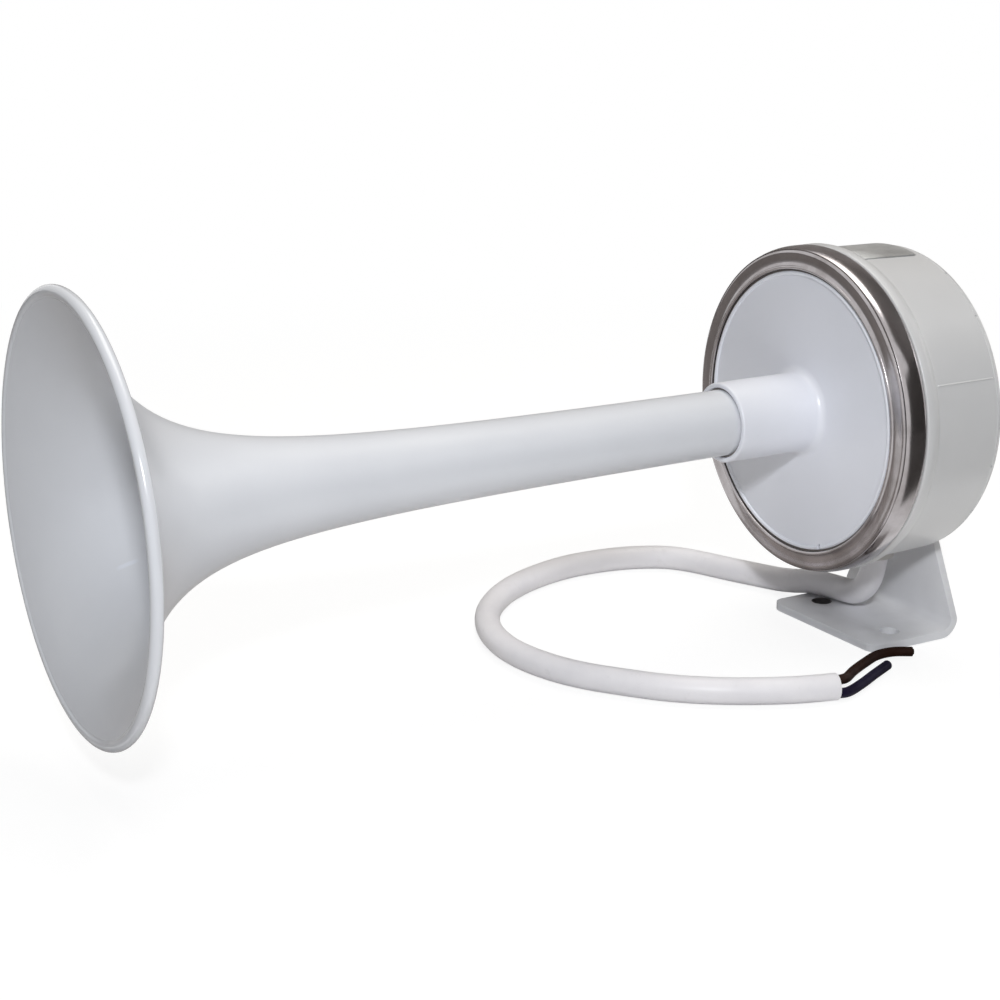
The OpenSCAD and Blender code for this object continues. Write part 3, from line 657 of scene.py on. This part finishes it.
def white_moulding(name, body, shade, stain, gloss, rim_gloss=0.0, groove=1.0, scuff=None):
    """Glossy white moulded plastic: faint clouding and smears, orange peel and specks.

    The horn's rim is glossier by rim_gloss, the colour is painted near black beyond a groove's radius in
    metres, as a painted shadow in the gap between the cover and the ring, and a scuff is a pale line, given
    by its middle and its direction.
    """
    finish = Finish(name, Specular_IOR_Level=0.5, Coat_Roughness=gloss * 0.8, Coat_IOR=1.45)
    cloud = finish.noise(22, 5, 0.55)
    colour = finish.mix(finish.range(cloud, 0.35, 0.7), body, shade)
    patches = finish.range(finish.noise(60, 2), 0.5, 0.6)
    specks = finish.range(finish.noise(900, 2, 0.6), 0.735, 0.76) * patches
    colour = finish.mix(specks * 0.2, colour, stain)
    if scuff:
        middle, (right, back, up) = scuff
        where = finish.place(middle)
        across, ahead, upward = [finish.part(where, axis) for axis in "XYZ"]
        along = across * right + ahead * back + upward * up
        aside = across ** 2 + ahead ** 2 + upward ** 2 - along ** 2
        line = finish.range(aside, 0.0, 0.000001, 1.0, 0.0)
        line = line * finish.range(along ** 2, 0.000002, 0.00002, 1.0, 0.0)
        colour = finish.mix(line * 0.38, colour, tone(0.86, 0.9, 1.0))
    radius = finish.round_axis()[0]
    # Painted shadow: beyond the groove's radius the colour goes near black, standing for the shade in the
    # gap between the cover and the ring.
    groove_shadow = finish.range(radius, groove, groove + 0.0002)
    finish.feed(Base_Color=finish.mix(groove_shadow, colour, tone(0.07, 0.06, 0.055)))
    smear = finish.noise(35, 4, 0.6, finish.place(turn=(0.3, 0.5, 0.2), stretch=(1, 0.35, 1)))
    rim = finish.range(radius, 0.0663, 0.0678) * rim_gloss
    finish.feed(Roughness=finish.range(smear, 0.3, 0.75, gloss, gloss + 0.1) + specks * 0.1 - rim)
    finish.feed(Coat_Weight=finish.range(cloud, 0.3, 0.7, 0.25, 0.1))
    finish.feed(Normal=finish.bump(finish.noise(420, 2, 0.4), 0.000003))
    return finish.material


def enamel(name):
    """White enamel on steel sheet, with clouding, grime, a few chips and painted shade in the far hole."""
    finish = Finish(name, Specular_IOR_Level=0.5, Coat_Roughness=0.12)
    cloud = finish.noise(28, 5, 0.6)
    colour = finish.mix(finish.range(cloud, 0.3, 0.7), tone(0.78, 0.785, 0.81), tone(0.72, 0.725, 0.75))
    grime = finish.range(finish.noise(60, 3, 0.5), 0.4, 0.9) * 0.2
    colour = finish.mix(grime, colour, tone(0.55, 0.54, 0.54))
    # Painted shade: the far foot hole's wall, which lies in the shadow of the drum and the cable, is
    # coloured near black.
    where = finish.place(FAR_HOLE)
    from_hole = (finish.part(where, "X") ** 2 + finish.part(where, "Y") ** 2) ** 0.5
    far_hole_shade = finish.range(from_hole, FOOT_HOLE + 0.00005, FOOT_HOLE + 0.00035, 0.92, 0.0)
    colour = finish.mix(far_hole_shade, colour, tone(0.06, 0.055, 0.05))
    chips = finish.range(finish.noise(260, 3, 0.65), 0.76, 0.775)
    colour = finish.mix(chips, colour, tone(0.25, 0.23, 0.22))
    finish.feed(Base_Color=colour, Metallic=chips * 0.6)
    finish.feed(Roughness=finish.range(cloud, 0.3, 0.7, 0.285, 0.36) + chips * 0.2)
    finish.feed(Coat_Weight=finish.range(chips, 0, 1, 0.3, 0.0))
    peel = finish.bump(finish.noise(500, 2, 0.45), 0.000012)
    finish.feed(Normal=finish.bump(1 - chips, 0.00003, under=peel))
    return finish.material


def polished_ring(name):
    """Polished stainless sheet with fine lines left by turning, and smudges."""
    finish = Finish(name, Metallic=1.0)
    radius, ahead, turn = finish.round_axis()
    lines = finish.node("ShaderNodeCombineXYZ", {}, {0: radius * 9000, 1: ahead * 9000, 2: turn * 2.5})
    grain = finish.noise(1, 3, 0.6, lines)
    smudge = finish.noise(55, 5, 0.6)
    colour = finish.mix(finish.range(smudge, 0.35, 0.7), tone(0.48, 0.455, 0.465), tone(0.33, 0.305, 0.305))
    colour = finish.mix(grain * 0.3, colour, tone(0.29, 0.27, 0.27))
    finish.feed(Base_Color=colour)
    finish.feed(Roughness=finish.range(smudge, 0.3, 0.7, 0.12, 0.21) + grain * 0.06)
    finish.feed(Normal=finish.bump(grain, 0.000004))
    return finish.material


def plated_steel(name, light, dark, rough, scale=300):
    """Plated or bright steel with a fine crystal pattern and dull spots."""
    finish = Finish(name, Metallic=1.0)
    crystals = finish.node("ShaderNodeTexVoronoi", {}, {"Scale": scale, "Vector": finish.place()})
    cloud = finish.noise(80, 5, 0.6)
    colour = finish.mix(finish.range(cloud, 0.35, 0.7), light, dark)
    finish.feed(Base_Color=finish.mix(crystals * 0.3, colour, dark))
    finish.feed(Roughness=finish.range(cloud, 0.3, 0.7, rough, rough + 0.16))
    finish.feed(Normal=finish.bump(cloud + crystals * 0.2, 0.00001))
    return finish.material


def rubber(name, light, dark):
    """Dull rubber with a fine grain and pale dust."""
    finish = Finish(name, Specular_IOR_Level=0.35)
    grain = finish.noise(900, 3, 0.7)
    dust = finish.range(finish.noise(90, 5, 0.6), 0.45, 0.75)
    finish.feed(Base_Color=finish.mix(dust * 0.5, dark, light))
    finish.feed(Roughness=finish.range(dust, 0, 1, 0.55, 0.8))
    finish.feed(Normal=finish.bump(grain, 0.00003))
    return finish.material


def moulded(name, light, dark, rough):
    """Plain moulded plastic or board, matt, with a fine pebble."""
    finish = Finish(name)
    cloud = finish.noise(70, 5, 0.6)
    fibres = finish.noise(500, 3, 0.6, finish.place(turn=(0.2, 0.4, 0.1), stretch=(1, 0.12, 1)))
    colour = finish.mix(finish.range(cloud, 0.35, 0.7), light, dark)
    finish.feed(Base_Color=finish.mix(finish.range(fibres, 0.45, 0.7) * 0.4, colour, dark))
    finish.feed(Roughness=finish.range(cloud, 0.3, 0.7, rough, rough + 0.15))
    finish.feed(Normal=finish.bump(fibres, 0.00002))
    return finish.material


def wound_copper(name):
    """Turns of enamelled wire round the core, with painted shade in the troughs between the turns."""
    finish = Finish(name, Metallic=0.9)
    ahead = finish.round_axis()[1]
    waves = finish.node("ShaderNodeMath", {"operation": "SINE"}, {0: ahead * (math.tau / 0.00045)})
    height = waves * 0.5 + 0.5
    # Painted shade and highlight: the colour is dark in the troughs between the turns and light on their
    # crests.
    colour = finish.mix(height, tone(0.30, 0.10, 0.04), tone(0.75, 0.34, 0.16))
    worn = finish.range(finish.noise(90, 4), 0.4, 0.7) * 0.4
    finish.feed(Base_Color=finish.mix(worn, colour, tone(0.4, 0.2, 0.1)))
    finish.feed(Roughness=finish.range(finish.noise(200, 3), 0.3, 0.7, 0.22, 0.38))
    finish.feed(Normal=finish.bump(height, 0.00008))
    return finish.material


def cable_skin(name, light, dark, mark, rough, ribs, shine=0.35):
    """Soft flexible sheath: satin, with faint lengthwise drag lines, smears and specks."""
    finish = Finish(name, Specular_IOR_Level=shine)
    along = finish.node("ShaderNodeAttribute", {"attribute_name": "along"}, {}, "Fac")
    cloud = finish.noise(70, 5, 0.6)
    smear = finish.noise(160, 4, 0.65)
    colour = finish.mix(finish.range(cloud, 0.35, 0.7), light, dark)
    marks = finish.range(smear, 0.60, 0.72) * 0.2
    specks = finish.range(finish.noise(1100, 2, 0.6), 0.74, 0.77) * 0.4
    finish.feed(Base_Color=finish.mix(marks + specks, colour, mark))
    finish.feed(Roughness=finish.range(cloud, 0.3, 0.7, rough, rough + 0.14))
    waves = finish.node("ShaderNodeMath", {"operation": "SINE"}, {0: along * ribs})
    peel = finish.bump(smear + waves * 0.05, 0.00004)
    finish.feed(Normal=finish.bump(finish.noise(1400, 2, 0.5), 0.00001, under=peel))
    return finish.material


bell_scuff = ((-0.0199, -0.2834, 0.0641), (0.497, 0.771, 0.398))
# Painted light in the whites of one plastic: the horn's and the cover's whites are tinted blue as a painted
# cool reflection, and the drum's white is set a darker grey as painted shade.
white_horn = white_moulding(
    "white_horn", tone(0.73, 0.745, 0.785), tone(0.705, 0.72, 0.76), tone(0.45, 0.44, 0.43), 0.3, 0.2,
    scuff=bell_scuff)
white_cover = white_moulding(
    "white_cover", tone(0.83, 0.845, 0.91), tone(0.80, 0.815, 0.875), tone(0.45, 0.44, 0.43), 0.285,
    groove=0.051)
white_drum = white_moulding(
    "white_drum", tone(0.63, 0.63, 0.635), tone(0.60, 0.60, 0.605), tone(0.42, 0.41, 0.40), 0.285)
# Painted highlight: the raised parting lines are given a lighter white than the drum's, standing for the
# light line along their ridge.
seam_painted_highlight = white_moulding(
    "seam_painted_highlight", tone(0.73, 0.73, 0.73), tone(0.70, 0.70, 0.70), tone(0.5, 0.5, 0.5), 0.285)
white_enamel = enamel("white_enamel")
stainless = polished_ring("polished_stainless")
bright_steel = plated_steel("bright_steel", tone(0.68, 0.68, 0.70), tone(0.48, 0.48, 0.50), 0.2)
zinc_steel = plated_steel("zinc_plated_steel", tone(0.62, 0.63, 0.65), tone(0.42, 0.43, 0.46), 0.28)
magnet_steel = plated_steel("magnet_steel", tone(0.26, 0.27, 0.28), tone(0.14, 0.14, 0.15), 0.4, 500)
spring_steel = plated_steel("spring_steel", tone(0.55, 0.58, 0.62), tone(0.40, 0.42, 0.46), 0.18, 700)
brass = plated_steel("turned_brass", tone(0.78, 0.58, 0.26), tone(0.55, 0.38, 0.16), 0.22, 500)
plate_metal = plated_steel("bare_plate_metal", tone(0.62, 0.63, 0.63), tone(0.50, 0.51, 0.51), 0.34, 900)
black_rubber = rubber("black_rubber", tone(0.12, 0.12, 0.12), tone(0.03, 0.03, 0.03))
grey_rubber = rubber("grey_rubber", tone(0.40, 0.37, 0.35), tone(0.26, 0.24, 0.23))
pale_rubber = rubber("pale_rubber", tone(0.66, 0.64, 0.61), tone(0.52, 0.51, 0.49))
brown_board = moulded("brown_board", tone(0.30, 0.15, 0.07), tone(0.16, 0.08, 0.04), 0.45)
black_block = moulded("black_block", tone(0.05, 0.05, 0.055), tone(0.025, 0.025, 0.03), 0.4)
ivory_bobbin = moulded("ivory_bobbin", tone(0.80, 0.76, 0.64), tone(0.68, 0.63, 0.50), 0.35)
blue_dip = moulded("blue_dip", tone(0.06, 0.16, 0.45), tone(0.03, 0.09, 0.30), 0.2)
copper_turns = wound_copper("copper_turns")
white_sheath = cable_skin(
    "white_sheath", tone(0.865, 0.85, 0.875), tone(0.825, 0.81, 0.84), tone(0.62, 0.61, 0.61), 0.36, 900)
brown_skin = cable_skin(
    "brown_skin", tone(0.028, 0.009, 0.004), tone(0.014, 0.005, 0.003), tone(0.10, 0.04, 0.015), 0.5,
    1500, 0.08)
blue_skin = cable_skin(
    "blue_skin", tone(0.008, 0.005, 0.022), tone(0.005, 0.003, 0.013), tone(0.025, 0.015, 0.05), 0.48,
    1500, 0.08)


def dress(piece, body, slot, material, *nodes):
    """Gives a piece its finish and its body, and hides the model's nodes that it stands for."""
    piece.data.materials.clear()
    piece.data.materials.append(material)
    if body:
        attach(piece, body)
    if nodes:
        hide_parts(*nodes)


dress(trumpet, "drum", "white_gloss", white_horn, "trumpet")
dress(front_cover, "drum", "white_gloss", white_cover, "front_cover")
dress(hub_seal, "drum", "grey_rubber", grey_rubber, "hub_seal")
dress(clamp_ring, "drum", "stainless", stainless, "clamp_ring")
dress(drum, "drum", "white_gloss", white_drum, "housing")
dress(plate, "drum", "stainless", plate_metal)
dress(drum_seams, "drum", "white_gloss", seam_painted_highlight)
dress(stud, "drum", "steel", zinc_steel, "rear_stud")
dress(spacer, "drum", "rubber", black_rubber, "spacer")
dress(washer, "drum", "stainless", bright_steel, "stud_washer")
dress(stud_nut, "drum", "stainless", bright_steel, "stud_nut")
dress(lock_nut, "drum", "steel", zinc_steel, "lock_nut")
dress(adjuster, "adjuster", "steel", zinc_steel, "adjusting_screw")
dress(grommet, "drum", "grey_rubber", pale_rubber, "cable_grommet")
dress(bracket, "foot", "white_paint", white_enamel, "bracket")
dress(brown_core, "foot", "brown_wire", brown_skin, "brown_core")
dress(blue_core, "foot", "blue_wire", blue_skin, "blue_core")
dress(cable, None, "cable_white", white_sheath, "cable")
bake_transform(cable)

round(path_length(cable_path), 4)
round(path_length(brown_path), 4)
round(path_length(blue_path), 4)

CAD_FINISHES = {
    "front_gasket": black_rubber,
    "rear_gasket": black_rubber,
    "diaphragm": spring_steel,
    "armature": magnet_steel,
    "armature_nut": brass,
    "striker": brown_board,
    "base_plate": zinc_steel,
    "base_screws": zinc_steel,
    "magnet_cup": magnet_steel,
    "pole_core": magnet_steel,
    "coil_bobbin": ivory_bobbin,
    "coil_winding": copper_turns,
    "contact_block": brown_board,
    "breaker_pin": bright_steel,
    "breaker_arm": brass,
    "fixed_contact": brass,
    "capacitor": blue_dip,
    "terminal_block": black_block,
    "terminal_screws": brass,
    "inner_leads": brown_skin,
}
for node_name, material in CAD_FINISHES.items():
    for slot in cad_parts[node_name].material_slots:
        slot.material = material


# Stage, world and lamps

def stage_finish(name, colour, glow, ground):
    """A plain floor that the camera and mirrors see near white, and dark right under the foot."""
    finish = Finish(name)
    paths = finish.tree.nodes.new("ShaderNodeLightPath")
    seen = Value(finish, paths.outputs["Is Camera Ray"]) + Value(finish, paths.outputs["Is Glossy Ray"])
    seen = seen + Value(finish, paths.outputs["Is Transmission Ray"])
    where = finish.place((0, -0.1, 0))
    distance = (finish.part(where, "X") ** 2 + finish.part(where, "Y") ** 2) ** 0.5
    plain = finish.node("ShaderNodeBsdfDiffuse", {}, {"Color": ground})
    pale = finish.node("ShaderNodeBsdfDiffuse", {}, {"Color": colour})
    light = finish.node("ShaderNodeEmission", {}, {"Color": tone(1, 1, 1), "Strength": glow})
    white = finish.node("ShaderNodeEmission", {}, {"Color": tone(1, 1, 1), "Strength": 1.0})
    lit = finish.node("ShaderNodeAddShader", {}, {0: pale, 1: light})
    wide = finish.node("ShaderNodeMath", {"operation": "ABSOLUTE"}, {0: finish.part(finish.place(), "X")})
    deep = finish.node("ShaderNodeMath", {"operation": "ABSOLUTE"}, {0: finish.part(finish.place(), "Y")})
    covered = finish.range(wide, 0.023, 0.026, 1.0, 0.0) * finish.range(deep, 0.010, 0.013, 1.0, 0.0)
    near = finish.node("ShaderNodeMixShader", {}, {0: covered, 1: lit, 2: pale})
    faded = finish.range(distance, 0.35, 0.8)
    shown = finish.node("ShaderNodeMixShader", {}, {0: faded, 1: near, 2: white})
    share = finish.node("ShaderNodeMath", {"operation": "MINIMUM"}, {0: seen, 1: 1.0})
    mixed = finish.node("ShaderNodeMixShader", {}, {0: share, 1: plain, 2: shown})
    finish.tree.links.new(mixed.socket, finish.tree.nodes["Material Output"].inputs["Surface"])
    return finish.material


bpy.ops.object.select_all(action="DESELECT")
bpy.ops.mesh.primitive_plane_add(size=16, location=(0, 0, -0.0003))
floor = bpy.context.object
floor.name = "pale_floor"
floor.data.materials.append(stage_finish("pale_floor", tone(0.2, 0.2, 0.2), 0.86, tone(0.8, 0.8, 0.8)))


def dark_card(name, place, target, wide, high, shade):
    """A dark card that only shiny surfaces see."""
    turn = (Vector(target) - Vector(place)).to_track_quat("Z", "Y").to_euler()
    bpy.ops.object.select_all(action="DESELECT")
    bpy.ops.mesh.primitive_plane_add(size=1, location=place, rotation=turn)
    card = bpy.context.object
    card.name = name
    card.scale = (wide, high, 1)
    finish = Finish(name, Roughness=1.0, Base_Color=tone(shade, shade * 0.93, shade * 0.9))
    card.data.materials.append(finish.material)
    card.visible_camera = False
    card.visible_diffuse = False
    card.visible_shadow = False
    card.visible_transmission = False


dark_card("card_front", (-0.94, -0.8, 0.0005), (-0.94, -0.8, 1), 1.34, 1.4, 0.36)
dark_card("card_near", (-0.04, -0.16, 0.0005), (-0.04, -0.16, 1), 0.2, 0.32, 0.5)
dark_card("card_bell", (-0.0345, -0.7, 0.0005), (-0.0345, -0.7, 1), 0.469, 0.75, 0.38)
dark_card("card_behind", (-0.4, 0.25, 0.0005), (-0.4, 0.25, 1), 0.75, 0.4, 0.05)
dark_card("card_left_low", (-0.75, 0.42, 0.075), (0, -0.1, 0.075), 1.2, 0.15, 0.08)
dark_card("card_left", (-0.75, 0.42, 0.5), (0, -0.1, 0.1), 1.2, 0.75, 0.5)
dark_card("card_right_low", (0.45, 0.37, 0.0005), (0.45, 0.37, 1), 0.7, 0.74, 0.07)
dark_card("card_right", (0.62, 0.4, 0.2), (0, -0.05, 0.2), 0.8, 0.6, 0.08)
dark_card("card_above", (0.1, 0.75, 1), (0, -0.1, 0.1), 2, 1.2, 0.3)

world = bpy.data.worlds.new("studio")
bpy.context.scene.world = world
world.use_nodes = True
sky = world.node_tree
sky.nodes.clear()
paths = sky.nodes.new("ShaderNodeLightPath")
seen = paths.outputs["Is Camera Ray"]
for kind in ("Is Glossy Ray", "Is Transmission Ray"):
    either = sky.nodes.new("ShaderNodeMath")
    either.operation = "MAXIMUM"
    sky.links.new(seen, either.inputs[0])
    sky.links.new(paths.outputs[kind], either.inputs[1])
    seen = either.outputs[0]
seen_white = sky.nodes.new("ShaderNodeBackground")
seen_white.inputs["Color"].default_value = tone(1, 1, 1)
ambient = sky.nodes.new("ShaderNodeBackground")
ambient.inputs["Color"].default_value = tone(0.97, 0.98, 1.0)
ambient.inputs["Strength"].default_value = 0.03
choice = sky.nodes.new("ShaderNodeMixShader")
sky.links.new(seen, choice.inputs[0])
sky.links.new(ambient.outputs[0], choice.inputs[1])
sky.links.new(seen_white.outputs[0], choice.inputs[2])
result = sky.nodes.new("ShaderNodeOutputWorld")
sky.links.new(choice.outputs[0], result.inputs["Surface"])


def soft_lamp(name, place, target, size, power, colour=(1, 1, 1)):
    """A square lamp that faces a point."""
    turn = (Vector(place) - Vector(target)).to_track_quat("Z", "Y").to_euler()
    bpy.ops.object.light_add(type="AREA", location=place, rotation=turn)
    lamp = bpy.context.object
    lamp.name = name
    lamp.data.shape = "SQUARE"
    lamp.data.size = size
    lamp.data.energy = power
    lamp.data.color = colour


soft_lamp("key_lamp", (0.85, -0.62, 0.65), (0, -0.1, 0.08), 0.1, 7, (0.955, 0.975, 1))
soft_lamp("top_lamp", (-0.2, 0.1, 1.5), (0, -0.1, 0.08), 1.2, 14.4, (1, 0.968, 0.91))
soft_lamp("back_lamp", (0.2, 1.3, 1.0), (0, -0.1, 0.08), 0.9, 4.4)
